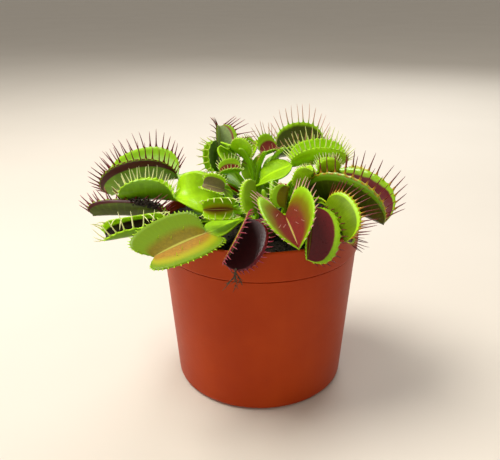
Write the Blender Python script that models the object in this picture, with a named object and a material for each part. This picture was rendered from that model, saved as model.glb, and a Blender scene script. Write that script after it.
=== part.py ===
"""A Venus flytrap in its plastic pot: a moulded pot, potting mix, four crowns and the leaves around them.

The plant's own sizes are in millimetres and its angles in degrees; closed_mesh() turns them into metres.
The origin is the centre of the pot's underside, +Z is up and -Y is the front.
"""

import bmesh
import bpy
import numpy as np
from mathutils import Vector, noise

MM = 0.001
GAP = 0.3  # clearance between touching pieces

# ---------------------------------------------------------------- pot and potting mix (millimetres)
POT_HEIGHT = 75.5
POT_FOOT_RADIUS = 37.4
POT_FOOT_CORNER = 2.4
BAND_BOTTOM_Z = 62.9  # lower edge of the rim band
BODY_TOP_RADIUS = 42.0
BAND_RADIUS = 42.6
POT_TOP_RADIUS = 43.0
POT_WALL = 1.3
POT_FLOOR = 1.6
POT_SEGMENTS = 56
DRAIN_COUNT = 6
DRAIN_RADIUS = 3.0
DRAIN_RING = 23.0
SOIL_TOP = 71.0
SOIL_RINGS = 9
SOIL_SEGMENTS = 40
CROWN_FLAT = 6.6  # the mix is flat this far round each crown

LEAF_THICKNESS = 0.85
LARGE_TRAP = 14.0  # traps longer than this get the finer grid
LARGE_GRID = (6, 8, 3)  # steps along the petiole, along the trap and across half of it
SMALL_GRID = (5, 6, 2)
CROWN_SEGMENTS = 16

# ---------------------------------------------------------------- plant layout (millimetres and degrees)
CROWN_RADIUS = 5.0
CROWN_BASE_Z = 70.6
CROWN_TOP_Z = 76.6
CROWNS = (
    ("crown_left", (-11.0, 3.0)),
    ("crown_back", (0.0, 21.0)),
    ("crown_right", (15.0, 5.0)),
    ("crown_front", (3.0, -14.0)),
)

NECK = 0.9  # half width where a petiole meets its trap
BASE_HALF_WIDTH = 0.85  # half width where a petiole leaves its crown
BASE_GAP = 0.35  # clearance between a crown and the petioles around it


def leaf(name, crown, joint, heading, pitch, roll, length, lobe, gape, **extra):
    """One leaf: its crown, then the trap's hinge point, direction, size and opening."""
    row = {
        "name": name,
        "crown": crown,
        "joint": joint,
        "heading": heading,
        "pitch": pitch,
        "roll": roll,
        "length": length,
        "lobe": lobe,
        "gape": gape,
        "bend": 12.0,
        "ears": (0.45, 0.45),
        "blade": 3.2,
        "rise": 9.0,
        "reach": 9.0,
        "fold": 12.0,
        "twist": 0.0,
        "leave": None,
        "low": 0.0,
        "lobes": (1.0, 1.0),
        "colour": "green",
    }
    row.update(extra)
    return row


LEAVES = (
    # left side
    leaf("leaf_left_large", 0, (-36, 12, 88), 174, -16, 2, 33, 17.5, (60, 4), blade=7.5, rise=15,
         leave=140),
    leaf("leaf_left_broad", 0, (-36, -6, 84), 180, 0, -14, 22, 10.5, (74, -16), ears=(0.1, 0.45),
         blade=10.5, rise=17, reach=10, twist=-42, leave=176, low=1, colour="bright"),
    leaf("leaf_left_closed", 0, (-40.5, -12.4, 78.4), 168, -2, -25, 31, 7.5, (80, -40), blade=3,
         rise=5.5, reach=10, leave=207, low=-0.5, colour="olive"),
    leaf("leaf_left_low", 0, (-39, -20, 76.8), 192, -5, 38, 23, 9, (82, -42), blade=2.2, rise=1,
         reach=8.5, leave=240, low=-0.5),
    leaf("leaf_cup", 0, (-15, -7, 88), 172, 14, 50, 9, 7, (60, 10), blade=2.4, rise=8, leave=264,
         low=0.5, colour="bright"),
    # front
    leaf("leaf_front_wide", 3, (-21, -30, 78), 220, -7, 16, 24, 14, (80, 68), ears=(0.4, 1.6),
         blade=6.6, rise=10, twist=20, leave=185, colour="bright"),
    leaf("leaf_front_eye", 0, (-11, -22, 85.2), 196, 4, 68, 12, 7.5, (66, 5), blade=2.4, rise=10.5,
         reach=11, leave=300, low=-0.5),
    leaf("leaf_front_half", 3, (-1.8, -22.5, 83.5), 100, 70, 90, 13, 6.5, (50, 0), blade=1.8,
         rise=10.5, reach=4, leave=226, low=2.2),
    leaf("leaf_front_dark", 3, (-5.5, -34, 86), 235, -42, 70, 20, 12, (44, 26), blade=2.4, rise=1,
         reach=5, leave=230, low=-1, colour="maroon"),
    leaf("leaf_front_heart", 3, (10, -20, 81), 278, -6, -13, 26, 16.5, (46, 30), ears=(1.3, 0.1),
         blade=3.5, rise=8, reach=7, leave=261, colour="bright"),
    leaf("leaf_front_disc", 3, (19.5, -24, 86.3), 262, -33, 42, 24, 12, (70, 44), blade=3, rise=14,
         reach=7.5, leave=352, lobes=(1, 0.25), colour="maroon"),
    leaf("leaf_front_small", 3, (10, -12, 82), 60, 70, 90, 9, 7, (66, 20), blade=2.4, rise=8,
         reach=8, leave=39, low=-0.5),
    # right
    leaf("leaf_right_second", 2, (26, -18.5, 86), 296, -33, 70, 19, 11.5, (66, 16), blade=2.4,
         rise=11, reach=7.5, leave=297, low=-1, lobes=(0.8, 1), colour="maroon"),
    leaf("leaf_right_large", 2, (22, -3.5, 83), 328, -8, 8, 33, 19, (58, 4), blade=4, rise=7,
         reach=6, leave=330, colour="olive"),
    leaf("leaf_right_green", 1, (14.5, 11, 93.4), 2, 2, -6, 23, 11.5, (66, -6), blade=8.5, rise=16,
         twist=30, leave=252, colour="bright"),
    leaf("leaf_right_round", 2, (24.6, -0.5, 93.8), 5, 4, 10, 9, 7, (60, 10), blade=3, rise=5.5,
         leave=13, colour="bright"),
    leaf("leaf_right_inner", 2, (15.5, -3, 92.5), 345, 4, 10, 7.5, 5.5, (60, 10), blade=2.2,
         leave=274, low=1),
    leaf("leaf_right_small", 2, (17, -11.5, 90.5), 330, 60, 10, 9, 6, (60, 10), blade=2.2,
         rise=8.5, reach=8, leave=230, colour="bright"),
    leaf("leaf_dry", 2, (40, 15, 90), 335, -12, 0, 10, 4.5, (84, 60), blade=1.6, leave=45,
         colour="dry"),
    # back
    leaf("leaf_back_right", 1, (9, 29, 92.5), 5, 4, -18, 22, 15, (62, 16), blade=4.4, leave=20,
         colour="olive"),
    leaf("leaf_back_middle", 1, (1.2, 25.7, 94), 5, 20, -30, 8, 9, (60, 20), blade=3.3, rise=10,
         reach=12.5, leave=56, low=-0.5),
    leaf("leaf_back_round", 1, (-5, 33, 91.5), 40, 60, -30, 8, 6.5, (60, 20), blade=4, rise=6.5,
         reach=10.5, leave=88, low=-1, colour="bright"),
    leaf("leaf_back_olive", 1, (-13, 23, 99), 340, -35, 30, 10, 8, (60, 20), blade=7, rise=19.5,
         reach=7.5, leave=221, low=2.2),
    leaf("leaf_back_tall", 1, (-18.2, 31.6, 90), 95, 76, -32, 16, 9, (54, 32), blade=4.5,
         leave=150, colour="olive"),
    leaf("leaf_back_left", 1, (-18.5, 18, 89), 100, 72, 70, 13, 7, (72, -24), blade=3, rise=11,
         reach=8.5, leave=179, low=0.5, colour="olive"),
    leaf("leaf_back_small", 1, (-17, 5.5, 91.5), 10, 5, -20, 9, 6, (60, 20), blade=2.6, rise=8,
         reach=10, leave=210, low=-0.5),
)


def unit(v):
    v = np.asarray(v, float)
    return v / np.linalg.norm(v)


def heading_vector(heading, pitch):
    a, p = np.radians(heading), np.radians(pitch)
    return np.array([np.cos(p) * np.cos(a), np.cos(p) * np.sin(a), np.sin(p)])


def turned(v, axis, degrees):
    """Vector v turned about a unit axis."""
    a = np.radians(degrees)
    return v * np.cos(a) + np.cross(axis, v) * np.sin(a) + axis * np.dot(axis, v) * (1 - np.cos(a))


def trap_frame(row):
    """Directions at the hinge: along the midrib, out of the mouth, and to the left lobe."""
    along = heading_vector(row["heading"], row["pitch"])
    mouth = unit(np.array([0, 0, 1.0]) - along[2] * along)
    mouth = turned(mouth, along, -row["roll"])
    return along, mouth, np.cross(mouth, along)


def lobe_outline(s, row):
    """Rim of a flat lobe at station s from 0 to 1: how far along the midrib, and how far out from it."""
    turn = np.pi * s
    ear = row["ears"][0] * (1 - s) + row["ears"][1] * s
    along = row["length"] / 2 * (1 - (1 + ear * np.sin(turn)) * np.cos(turn))
    return along, NECK * (1 - 0.5 * s) + (row["lobe"] - NECK) * np.sin(turn)


def lobe_section(depth, row):
    """Cross-section of a lobe as an arc: how far aside and how far up it is at a depth from the midrib."""
    root, rim = np.radians(row["gape"])
    rate = (rim - root) / row["lobe"]
    theta = root + rate * depth
    return (np.cos(root) - np.cos(theta)) / rate, (np.sin(theta) - np.sin(root)) / rate


def trap_point(row, s, v):
    """Point of the trap's middle surface: s runs along the midrib, v from -1 to 1 across both lobes."""
    along, mouth, left = trap_frame(row)
    station = 0.5 * s + 0.25 * (1 - np.cos(np.pi * s))
    rim_along, rim_out = lobe_outline(s, row)
    bend = np.radians(row["bend"])
    turn = bend * (station - 0.5)
    forward = row["length"] / bend * (np.sin(turn) + np.sin(bend / 2))
    lift = row["length"] / bend * (np.cos(bend / 2) - np.cos(turn))
    tangent = along * np.cos(turn) + mouth * np.sin(turn)
    normal = mouth * np.cos(turn) - along * np.sin(turn)
    origin = np.asarray(row["joint"], float) + along * forward - mouth * lift
    share = row["lobes"][0 if v > 0 else 1]
    out, up = lobe_section(abs(v) * rim_out * share, row)
    shift = abs(v) * (rim_along - station * row["length"]) * share
    return origin + tangent * shift + left * np.sign(v) * out + normal * up


def petiole_curve(row):
    """Control points of the petiole's middle line, from the crown to the hinge."""
    crown = np.array([*CROWNS[row["crown"]][1], 0.0])
    joint = np.asarray(row["joint"], float)
    away = joint[:2] - crown[:2]
    angle = np.degrees(np.arctan2(away[1], away[0])) if row["leave"] is None else row["leave"]
    outward = heading_vector(angle, 0)
    start = crown + outward * (CROWN_RADIUS + BASE_GAP + 0.45)
    start[2] = CROWN_BASE_Z + 2.6 + row["low"]
    along = trap_frame(row)[0]
    ending = unit(unit(joint - start) + along)
    first = start + outward * 0.35 * row["rise"] + np.array([0, 0, 0.9 * row["rise"]])
    return start, first, joint - ending * row["reach"], joint


def petiole_half_width(t, row):
    """Half width of the winged petiole: narrow foot, broad shoulders, short neck."""
    foot = BASE_HALF_WIDTH + (row["blade"] - BASE_HALF_WIDTH) * np.sin(np.pi / 2 * min(1, t / 0.62)) ** 1.6
    if t <= 0.7:
        return foot
    drop = (t - 0.7) / 0.3
    return NECK + (foot - NECK) * max(0, 1 - drop**2) ** 0.6


def petiole_point(row, t, v):
    p0, p1, p2, p3 = petiole_curve(row)
    m = 1 - t
    centre = m**3 * p0 + 3 * m * m * t * p1 + 3 * m * t * t * p2 + t**3 * p3
    tangent = unit(3 * m * m * (p1 - p0) + 6 * m * t * (p2 - p1) + 3 * t * t * (p3 - p2))
    crown = np.array([*CROWNS[row["crown"]][1], 0.0])
    inward = unit(np.array([crown[0] - p0[0], crown[1] - p0[1], 0.0]))
    mouth = trap_frame(row)[1]
    upward = np.array([0, 0, 1.0])
    near = max(0, 1 - t / 0.35)
    end = max(0, (t - 0.55) / 0.45)
    end = end * end * (3 - 2 * end)
    face = near * inward + (1 - near) * ((1 - end) * (upward + 0.25 * inward) + end * mouth)
    face = unit(face - np.dot(face, tangent) * tangent)
    face = turned(face, tangent, row["twist"] * np.sin(np.pi * t))
    left = np.cross(face, tangent)
    half = petiole_half_width(t, row)
    fold = np.radians(row["fold"]) * np.sin(np.pi * min(1, t))
    return centre + left * half * v * np.cos(fold) + face * half * abs(v) * np.sin(fold)


def leaf_sheet(row, along_petiole, along_trap, across):
    """Middle surface of a leaf as a grid of points: rows from foot to tip, columns from right to left."""
    columns = [c / across for c in range(-across, across + 1)]
    grid = [[petiole_point(row, i / along_petiole, v) for v in columns] for i in range(along_petiole)]
    grid += [[trap_point(row, s, v) for v in columns] for s in np.linspace(0, 1, along_trap + 1)]
    return np.array(grid)


# ---------------------------------------------------------------- small pieces
def young_leaf(name, crown, foot, tip, arch, girth):
    """An unopened leaf: where it stands on its crown, its tip, how far it arches up, its half thickness."""
    return {"name": name, "crown": crown, "foot": foot, "tip": tip, "arch": arch, "girth": girth}


YOUNG_LEAVES = (
    young_leaf("young_leaf_tall", 1, (-1.6, 1.2), (3, 15, 98.5), 0.0, 1.15),
    young_leaf("young_leaf_back", 1, (1.8, 0.8), (12.4, 17.4, 99.5), 2.0, 1.05),
    young_leaf("young_leaf_upright", 1, (-1.4, -1.9), (-9, 15, 100), 0.0, 1.25),
    young_leaf("young_leaf_left", 0, (0.0, 0.0), (-16, -4, 89), 3.0, 1.25),
    young_leaf("young_leaf_right", 3, (1.6, 2.4), (5, -3, 91), 1.0, 1.05),
    young_leaf("young_leaf_front", 3, (0.0, 0.0), (1, -12, 90), 0.0, 1.0),
)
YOUNG_RINGS = 9
YOUNG_SIDES = 8

# A dried scrap of moss that hangs from the lowest front trap.
SPRIG_STEM = ((-9.3, -49.3, 72.4), (-9.8, -50.1, 69.4), (-12.4, -51.1, 66.8))
SPRIG_BRANCHES = (
    ((-9.6, -49.7, 70.6), (-9.6, -51.1, 66.4)),
    ((-9.6, -49.5, 70.8), (-7.4, -50.8, 67.8)),
)
SPRIG_GIRTH = 0.6
SPRIG_SIDES = 6


# ---------------------------------------------------------------- meshes
def material(name, colour, roughness, metallic=0.0):
    made = bpy.data.materials.new(name)
    made.use_nodes = True
    shader = made.node_tree.nodes["Principled BSDF"]
    shader.inputs["Base Color"].default_value = (*colour, 1.0)
    shader.inputs["Roughness"].default_value = roughness
    shader.inputs["Metallic"].default_value = metallic
    return made


def add_object(name, mesh, look):
    made = bpy.data.objects.new(name, mesh)
    bpy.context.scene.collection.objects.link(made)
    mesh.materials.append(look)
    return made


def closed_mesh(name, points, faces):
    """A mesh from points in millimetres, turned so that its faces point outwards, and shaded smooth."""
    work = bmesh.new()
    corners = [work.verts.new([c * MM for c in point]) for point in points]
    for face in faces:
        work.faces.new([corners[i] for i in face])
    bmesh.ops.recalc_face_normals(work, faces=work.faces[:])
    if work.calc_volume(signed=True) < 0:
        bmesh.ops.reverse_faces(work, faces=work.faces[:])
    mesh = bpy.data.meshes.new(name)
    work.to_mesh(mesh)
    work.free()
    mesh.shade_smooth()
    return mesh


def lathed(name, profile, segments):
    """A solid of revolution about Z from a closed outline of (radius, z); radius 0 makes a single point."""
    points, rings, faces = [], [], []
    for radius, z in profile:
        count = segments if radius > 0 else 1
        rings.append(range(len(points), len(points) + count))
        for i in range(count):
            turn = 2 * np.pi * i / segments
            points.append((radius * np.cos(turn), radius * np.sin(turn), z))
    pairs = list(zip(rings[:-1], rings[1:]))
    if profile[0][0] > 0:
        pairs.append((rings[-1], rings[0]))
    for lower, upper in pairs:
        for i in range(segments):
            a, b = lower[i % len(lower)], lower[(i + 1) % len(lower)]
            c, d = upper[(i + 1) % len(upper)], upper[i % len(upper)]
            faces.append(list(dict.fromkeys((a, b, c, d))))
    return closed_mesh(name, points, faces)


def body_radius(z):
    """Outer radius of the pot's body below its rim band."""
    return POT_FOOT_RADIUS + (BODY_TOP_RADIUS - POT_FOOT_RADIUS) * z / BAND_BOTTOM_Z


def band_radius(z):
    return BAND_RADIUS + (POT_TOP_RADIUS - BAND_RADIUS) * (z - BAND_BOTTOM_Z) / (POT_HEIGHT - BAND_BOTTOM_Z)


def inner_radius(z):
    return (band_radius(z) if z > BAND_BOTTOM_Z + 1 else body_radius(z)) - POT_WALL


def pot_profile():
    corner = [
        (
            body_radius(POT_FOOT_CORNER) - POT_FOOT_CORNER * (1 - np.sin(turn)),
            POT_FOOT_CORNER * (1 - np.cos(turn)),
        )
        for turn in np.linspace(0, np.pi / 2, 5)
    ]
    lip = POT_WALL / 2
    crest = [
        (POT_TOP_RADIUS - lip + lip * np.cos(turn), POT_HEIGHT - lip + lip * np.sin(turn))
        for turn in np.linspace(0.2, np.pi - 0.2, 6)
    ]
    body = [(body_radius(BAND_BOTTOM_Z), BAND_BOTTOM_Z), (band_radius(BAND_BOTTOM_Z), BAND_BOTTOM_Z + 0.4)]
    inside = [
        (inner_radius(BAND_BOTTOM_Z + 2), BAND_BOTTOM_Z + 2),
        (inner_radius(BAND_BOTTOM_Z), BAND_BOTTOM_Z),
        (inner_radius(POT_FLOOR + 2), POT_FLOOR + 2),
        (inner_radius(POT_FLOOR) - 2, POT_FLOOR),
        (0, POT_FLOOR),
    ]
    return [(0, 0), *corner, *body, *crest, *inside]


def build_pot():
    look = material("pot", (0.44, 0.085, 0.012), 0.42)
    pot = add_object("pot", lathed("pot", pot_profile(), POT_SEGMENTS), look)
    pot.data.set_sharp_from_angle(angle=0.6)
    for i in range(DRAIN_COUNT):
        turn = 2 * np.pi * (i + 0.4) / DRAIN_COUNT
        hole = lathed(f"drain_{i}", [(0, -3), (DRAIN_RADIUS, -3), (DRAIN_RADIUS, 5), (0, 5)], 17)
        cutter = add_object(f"drain_{i}", hole, look)
        cutter.location = (DRAIN_RING * MM * np.cos(turn), DRAIN_RING * MM * np.sin(turn), 0)
        cutter.hide_render = True
        cutter.display_type = "WIRE"
        cut = pot.modifiers.new(f"drain_{i}", "BOOLEAN")
        cut.operation = "DIFFERENCE"
        cut.object = cutter


def soil_height(x, y):
    """Lumpy top of the potting mix, flat under each crown."""
    nearest = min(np.hypot(x - cx, y - cy) for _, (cx, cy) in CROWNS)
    lumps = 0.9 * noise.noise(Vector((x * 0.16, y * 0.16, 3.0)))
    lumps += 0.35 * noise.noise(Vector((x, y, 9.0)) * 0.5)
    blend = min(1, max(0, (nearest - CROWN_FLAT) / 3))
    flat = CROWN_BASE_Z - GAP
    return flat + blend * (SOIL_TOP - flat + lumps)


def build_soil():
    floor = POT_FLOOR + GAP
    wall = [inner_radius(z) - GAP for z in (floor + 2, BAND_BOTTOM_Z, BAND_BOTTOM_Z + 2)]
    points, faces = [(0, 0, soil_height(0, 0))], []
    radii = [wall[2] * (i + 1) / SOIL_RINGS for i in range(SOIL_RINGS)]
    levels = [(r, None) for r in radii]
    levels += [(wall[2], BAND_BOTTOM_Z + 2), (wall[1], BAND_BOTTOM_Z)]
    levels += [(wall[0], floor + 2), (wall[0] - 2, floor)]
    for radius, z in levels:
        for i in range(SOIL_SEGMENTS):
            turn = 2 * np.pi * i / SOIL_SEGMENTS
            x, y = radius * np.cos(turn), radius * np.sin(turn)
            points.append((x, y, soil_height(x, y) if z is None else z))
    points.append((0, 0, floor))
    last = len(points) - 1
    for i in range(SOIL_SEGMENTS):
        j = (i + 1) % SOIL_SEGMENTS
        faces.append((0, 1 + i, 1 + j))
        for k in range(len(levels) - 1):
            a, b = 1 + k * SOIL_SEGMENTS, 1 + (k + 1) * SOIL_SEGMENTS
            faces.append((a + i, b + i, b + j, a + j))
        b = 1 + (len(levels) - 1) * SOIL_SEGMENTS
        faces.append((b + i, last, b + j))
    look = material("potting_mix", (0.012, 0.009, 0.007), 0.95)
    add_object("potting_mix", closed_mesh("potting_mix", points, faces), look)


def build_crown(name, centre):
    base, top = CROWN_BASE_Z, CROWN_TOP_Z
    profile = [
        (0, base),
        (CROWN_RADIUS * 0.86, base),
        (CROWN_RADIUS, base + 1.6),
        (CROWN_RADIUS, top - 1.8),
        (CROWN_RADIUS * 0.7, top - 0.5),
        (0, top),
    ]
    look = material(name, (0.30, 0.42, 0.10), 0.6)
    crown = add_object(name, lathed(name, profile, CROWN_SEGMENTS), look)
    crown.location = (centre[0] * MM, centre[1] * MM, 0)


def thickened(sheet):
    """Upper and lower skins of a leaf's middle surface, half a thickness to each side of it."""
    down = np.gradient(sheet, axis=0)
    across = np.gradient(sheet, axis=1)
    normals = np.cross(down, across)
    normals /= np.linalg.norm(normals, axis=2, keepdims=True)
    middle = sheet.shape[1] // 2
    spine = normals[:, middle : middle + 1]
    half_width = np.linalg.norm(sheet[:, -1] - sheet[:, middle], axis=1)[:, None, None]
    share = np.clip((half_width - 1.0) / 2.5, 0, 1)
    normals = spine * (1 - share) + normals * share
    normals *= LEAF_THICKNESS / 2 / np.linalg.norm(normals, axis=2, keepdims=True)
    return sheet + normals, sheet - normals


def build_leaf(row):
    along_petiole, along_trap, across = LARGE_GRID if row["length"] > LARGE_TRAP else SMALL_GRID
    upper, lower = thickened(leaf_sheet(row, along_petiole, along_trap, across))
    rows, columns = upper.shape[:2]
    points = [*upper.reshape(-1, 3), *lower.reshape(-1, 3)]
    under = rows * columns
    faces = []
    for i in range(rows - 1):
        for j in range(columns - 1):
            a = i * columns + j
            quad = (a, a + 1, a + columns + 1, a + columns)
            faces.append(quad)
            faces.append(tuple(under + c for c in reversed(quad)))
    edge = list(range(columns))
    edge += [i * columns + columns - 1 for i in range(1, rows)]
    edge += [(rows - 1) * columns + j for j in range(columns - 2, -1, -1)]
    edge += [i * columns for i in range(rows - 2, 0, -1)]
    for a, b in zip(edge, edge[1:] + edge[:1]):
        faces.append((b, a, under + a, under + b))
    look = material(row["name"], LEAF_COLOURS[row["colour"]], 0.45)
    add_object(row["name"], closed_mesh(row["name"], points, faces), look)


def young_leaf_line(row):
    """Middle line of a young leaf, as start, bend and tip."""
    centre = CROWNS[row["crown"]][1]
    start = np.array([centre[0] + row["foot"][0], centre[1] + row["foot"][1], CROWN_TOP_Z + GAP])
    tip = np.array(row["tip"], float)
    bend = start * 0.7 + tip * 0.3
    bend[2] = tip[2] + row["arch"] - 4
    return start, bend, tip


def young_leaf_ring(row, t, sides):
    """One ring of points round a young leaf: a slim stalk that swells into a folded bud."""
    start, bend, tip = young_leaf_line(row)
    centre = (1 - t) ** 2 * start + 2 * t * (1 - t) * bend + t * t * tip
    tangent = unit(2 * (1 - t) * (bend - start) + 2 * t * (tip - bend))
    side = unit(np.cross(tangent, (0.31, 0.77, 0.2)))
    other = np.cross(tangent, side)
    swell = np.clip((t - 0.3) / 0.35, 0, 1)
    swell = swell * swell * (3 - 2 * swell)
    close = np.sqrt(max(0.02, 1 - max(0, (t - 0.8) / 0.2) ** 2))
    radius = (0.7 + (row["girth"] - 0.7) * swell) * close
    turns = [2 * np.pi * i / sides for i in range(sides)]
    return [centre + radius * (np.cos(a) * side + 0.72 * np.sin(a) * other) for a in turns]


def tube(name, rings):
    """A closed tube through rings that all have the same number of points."""
    sides = len(rings[0])
    points = [point for ring in rings for point in ring]
    faces = [tuple(range(sides)), tuple(reversed(range(len(points) - sides, len(points))))]
    for k in range(0, len(points) - sides, sides):
        for i in range(sides):
            j = (i + 1) % sides
            faces.append((k + i, k + j, k + sides + j, k + sides + i))
    return closed_mesh(name, points, faces)


def build_young_leaf(row):
    rings = [young_leaf_ring(row, i / (YOUNG_RINGS - 1), YOUNG_SIDES) for i in range(YOUNG_RINGS)]
    look = material(row["name"], LEAF_COLOURS["bright"], 0.4)
    add_object(row["name"], tube(row["name"], rings), look)


def twig_rings(points, girth, sides):
    """Rings of a twig that tapers from its first point to its last."""
    rings = []
    points = [np.array(point, float) for point in points]
    for i, point in enumerate(points):
        tangent = unit(points[min(i + 1, len(points) - 1)] - points[max(i - 1, 0)])
        side = unit(np.cross(tangent, (1.0, 0.3, 0.0)))
        other = np.cross(tangent, side)
        radius = girth * (1 - 0.55 * i / (len(points) - 1))
        turns = [2 * np.pi * k / sides for k in range(sides)]
        rings.append([point + radius * (np.cos(a) * side + np.sin(a) * other) for a in turns])
    return rings


def build_sprig():
    """The scrap of dried moss: a bent stem with two branches joined to it."""
    look = material("dry_moss_sprig", (0.10, 0.085, 0.06), 0.9)
    stem = tube("dry_moss_sprig", twig_rings(SPRIG_STEM, SPRIG_GIRTH, SPRIG_SIDES))
    sprig = add_object("dry_moss_sprig", stem, look)
    for i, branch in enumerate(SPRIG_BRANCHES):
        name = f"sprig_branch_{i}"
        other = add_object(name, tube(name, twig_rings(branch, SPRIG_GIRTH * 0.8, SPRIG_SIDES)), look)
        other.hide_render = True
        join = sprig.modifiers.new(name, "BOOLEAN")
        join.operation = "UNION"
        join.object = other


LEAF_COLOURS = {
    "bright": (0.36, 0.62, 0.03),
    "green": (0.22, 0.45, 0.02),
    "olive": (0.10, 0.17, 0.015),
    "maroon": (0.12, 0.015, 0.02),
    "dry": (0.55, 0.36, 0.12),
}


def build():
    for old in list(bpy.data.objects):
        bpy.data.objects.remove(old, do_unlink=True)
    build_pot()
    build_soil()
    for name, centre in CROWNS:
        build_crown(name, centre)
    for row in LEAVES:
        build_leaf(row)
    for row in YOUNG_LEAVES:
        build_young_leaf(row)
    build_sprig()


build()
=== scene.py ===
"""The looks of the potted Venus flytrap: toothed leaves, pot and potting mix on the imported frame.

The plant's layout and the leaf formulas repeat the part's source, in millimetres and degrees.
"""

from itertools import product
from types import SimpleNamespace

import bmesh
import bpy
import numpy as np
from mathutils import Matrix, Vector, noise

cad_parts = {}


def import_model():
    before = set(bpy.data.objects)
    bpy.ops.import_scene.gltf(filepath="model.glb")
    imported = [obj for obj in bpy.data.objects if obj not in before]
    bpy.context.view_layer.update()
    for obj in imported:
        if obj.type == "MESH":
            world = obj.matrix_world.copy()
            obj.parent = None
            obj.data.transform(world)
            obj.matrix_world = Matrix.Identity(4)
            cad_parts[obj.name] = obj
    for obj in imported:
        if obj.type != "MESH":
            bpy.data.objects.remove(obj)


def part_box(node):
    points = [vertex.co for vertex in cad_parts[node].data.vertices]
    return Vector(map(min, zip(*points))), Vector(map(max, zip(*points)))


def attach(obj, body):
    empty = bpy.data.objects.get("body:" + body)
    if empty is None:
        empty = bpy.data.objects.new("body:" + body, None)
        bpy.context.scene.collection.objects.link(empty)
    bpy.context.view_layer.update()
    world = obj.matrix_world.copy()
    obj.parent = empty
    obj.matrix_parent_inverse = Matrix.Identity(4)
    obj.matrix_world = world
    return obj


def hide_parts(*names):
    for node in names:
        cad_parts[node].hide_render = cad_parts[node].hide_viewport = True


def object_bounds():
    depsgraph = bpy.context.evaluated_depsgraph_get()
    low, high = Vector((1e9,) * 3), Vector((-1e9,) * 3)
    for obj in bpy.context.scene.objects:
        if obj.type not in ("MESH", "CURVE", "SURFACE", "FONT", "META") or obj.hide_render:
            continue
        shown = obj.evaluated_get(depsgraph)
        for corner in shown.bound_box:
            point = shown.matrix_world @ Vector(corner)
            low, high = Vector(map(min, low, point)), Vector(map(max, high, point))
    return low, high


MM = 0.001
UP = np.array([0, 0, 1.0])
BODY = "root"
SEED = 11
random = np.random.default_rng(SEED)

GAP = 0.3  # clearance between touching pieces

# ---- pot and potting mix (millimetres)
POT_FOOT_RADIUS = 37.4
POT_FOOT_CORNER = 2.4
BAND_BOTTOM_Z = 62.9  # lower edge of the rim band
BODY_TOP_RADIUS = 42.0
BAND_RADIUS = 42.6
POT_TOP_RADIUS = 43.0
POT_WALL = 1.3
POT_FLOOR = 1.6
DRAIN_COUNT = 6
DRAIN_RADIUS = 3.0
DRAIN_RING = 23.0
SHARP_ANGLE = 0.7
SOIL_TOP = 71.0
CROWN_FLAT = 6.6  # the mix is flat this far round each crown
CRUMB_COUNT = 900
CLUMP_CRUMBS = 150
POT_SIDES = 180
DRAIN_SIDES = 28
SOIL_SIDES = 150
SOIL_RINGS = 64

# ---- plant layout
CROWN_RADIUS = 5.0
CROWN_BASE_Z = 70.6
CROWN_TOP_Z = 76.6
CROWNS = (
    ("crown_left", (-11.0, 3.0)),
    ("crown_back", (0.0, 21.0)),
    ("crown_right", (15.0, 5.0)),
    ("crown_front", (3.0, -14.0)),
)

NECK = 0.9  # half width where a petiole meets its trap
BASE_HALF_WIDTH = 0.85  # half width where a petiole leaves its crown
BASE_GAP = 0.35  # clearance between a crown and the petioles around it


def leaf(
    name, crown, joint, heading, pitch, roll, length, lobe, gape, bend=12.0, ears=(0.45, 0.45),
    blade=3.2, rise=9.0, reach=9.0, fold=12.0, twist=0.0, leave=None, low=0.0, lobes=(1.0, 1.0),
    colour="green",
):
    """One leaf: its crown, then the trap's hinge point, direction, size and opening."""
    return locals()


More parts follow.
